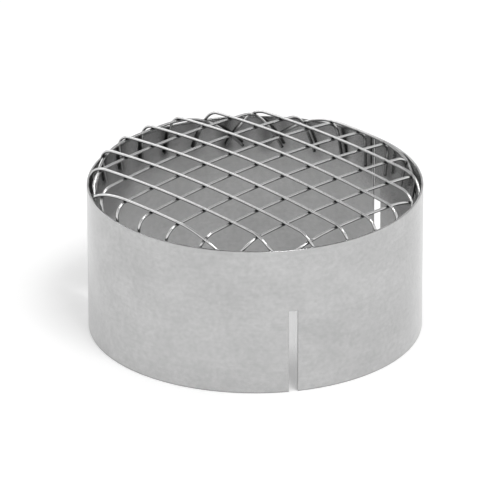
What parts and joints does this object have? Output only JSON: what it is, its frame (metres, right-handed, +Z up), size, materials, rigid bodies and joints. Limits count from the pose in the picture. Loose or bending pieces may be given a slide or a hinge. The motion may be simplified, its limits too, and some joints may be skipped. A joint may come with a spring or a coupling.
{
  "type": "vent cover",
  "caption": "Slotted steel collar closed by a shallow dome of welded wire mesh, fitted over the open end of a vent pipe.",
  "frame": {"origin": "centre of the collar's bottom edge, on the collar's axis", "axes": "+Z up along the collar's axis towards the mesh, -Y towards the front, +X to the right"},
  "size_m": [0.116, 0.116, 0.0604],
  "materials": {
    "collar_steel": "matt mill finish with fine rolling marks",
    "wire_steel": "drawn bright wire, slightly dulled"
  },
  "bodies": {
    "root": {"collar": "collar_steel", "upper_wire_1": "wire_steel", "upper_wire_2": "wire_steel", "upper_wire_3": "wire_steel", "upper_wire_4": "wire_steel", "upper_wire_5": "wire_steel", "upper_wire_6": "wire_steel", "upper_wire_7": "wire_steel", "upper_wire_8": "wire_steel", "upper_wire_9": "wire_steel", "lower_wire_1": "wire_steel", "lower_wire_2": "wire_steel", "lower_wire_3": "wire_steel", "lower_wire_4": "wire_steel", "lower_wire_5": "wire_steel", "lower_wire_6": "wire_steel", "lower_wire_7": "wire_steel", "lower_wire_8": "wire_steel", "lower_wire_9": "wire_steel"}
  },
  "joints": []
}
